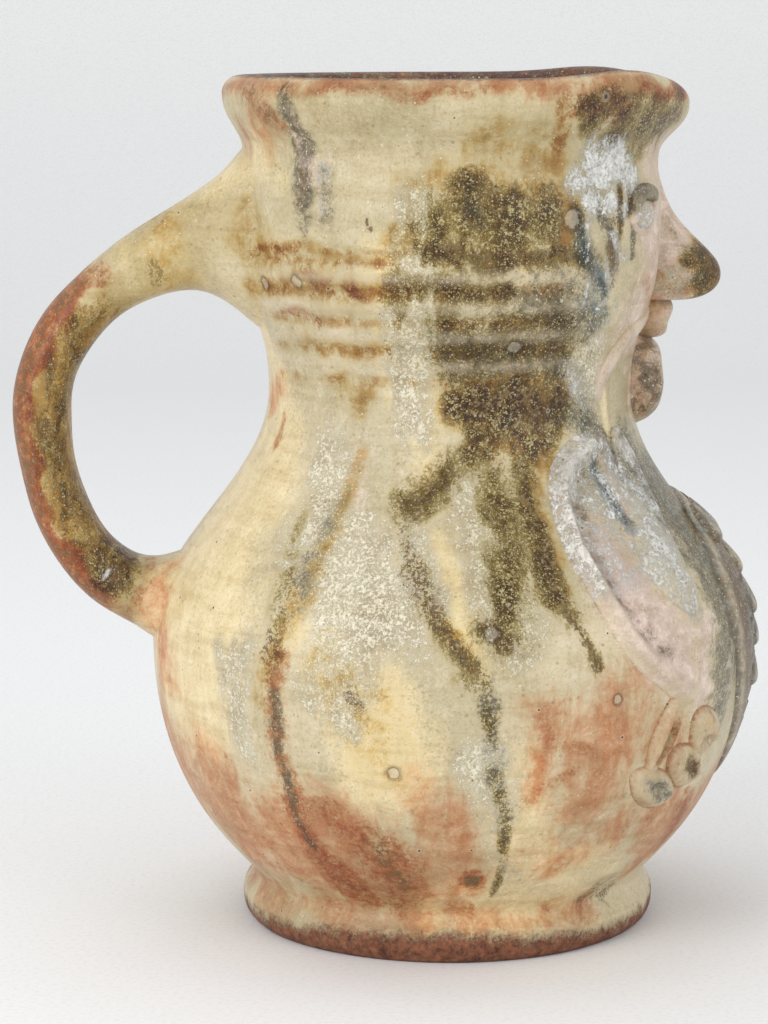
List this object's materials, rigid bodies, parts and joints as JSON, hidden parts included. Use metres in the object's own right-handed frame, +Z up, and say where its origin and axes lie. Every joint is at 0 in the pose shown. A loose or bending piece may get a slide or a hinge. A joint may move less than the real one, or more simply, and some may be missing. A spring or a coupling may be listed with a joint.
{
  "type": "pitcher",
  "caption": "Round-bellied stoneware pitcher with a pulled handle, a pouring lip, and an owl's face, wings, breast and feet in applied relief.",
  "frame": {"origin": "centre of the flat underside of the foot, on the throwing axis", "axes": "+Z up, +X to the pouring lip and the owl's face, handle at -X, the owl's right side at -Y"},
  "size_m": [0.2063, 0.1632, 0.2333],
  "materials": {
    "ash": "glossy ash glaze with pinholes",
    "olive": "glossy olive runs",
    "iron": "glossy glaze breaking to red-brown iron",
    "clay": "thin glaze over pink-brown clay",
    "grey": "grey glaze, speckled",
    "blue": "grey-blue glaze, speckled",
    "pink": "pale pink glaze, speckled"
  },
  "bodies": {
    "root": {"vessel": "ash", "handle": "iron", "beak": "olive", "lower_beak": "pink", "throat_flap": "clay", "left_eye_ring": "blue", "right_eye_ring": "blue", "left_eyeball": "blue", "right_eyeball": "blue", "left_face_ridge": "pink", "right_face_ridge": "pink", "left_wing": "pink", "right_wing": "pink", "left_wing_feather": "blue", "right_wing_feather": "blue", "breast_panel": "grey", "breast_pellet_1_1": "grey", "breast_pellet_1_2": "grey", "breast_pellet_1_3": "grey", "breast_pellet_2_1": "grey", "breast_pellet_2_2": "grey", "breast_pellet_3_1": "grey", "breast_pellet_3_2": "grey", "breast_pellet_3_3": "grey", "breast_pellet_4_1": "grey", "breast_pellet_4_2": "grey", "breast_pellet_5_1": "grey", "breast_pellet_5_2": "grey", "breast_pellet_5_3": "grey", "left_toe_1": "clay", "right_toe_1": "clay", "left_toe_2": "clay", "right_toe_2": "clay", "left_toe_3": "clay", "right_toe_3": "clay", "left_hind_claw": "clay", "right_hind_claw": "clay"}
  },
  "joints": []
}
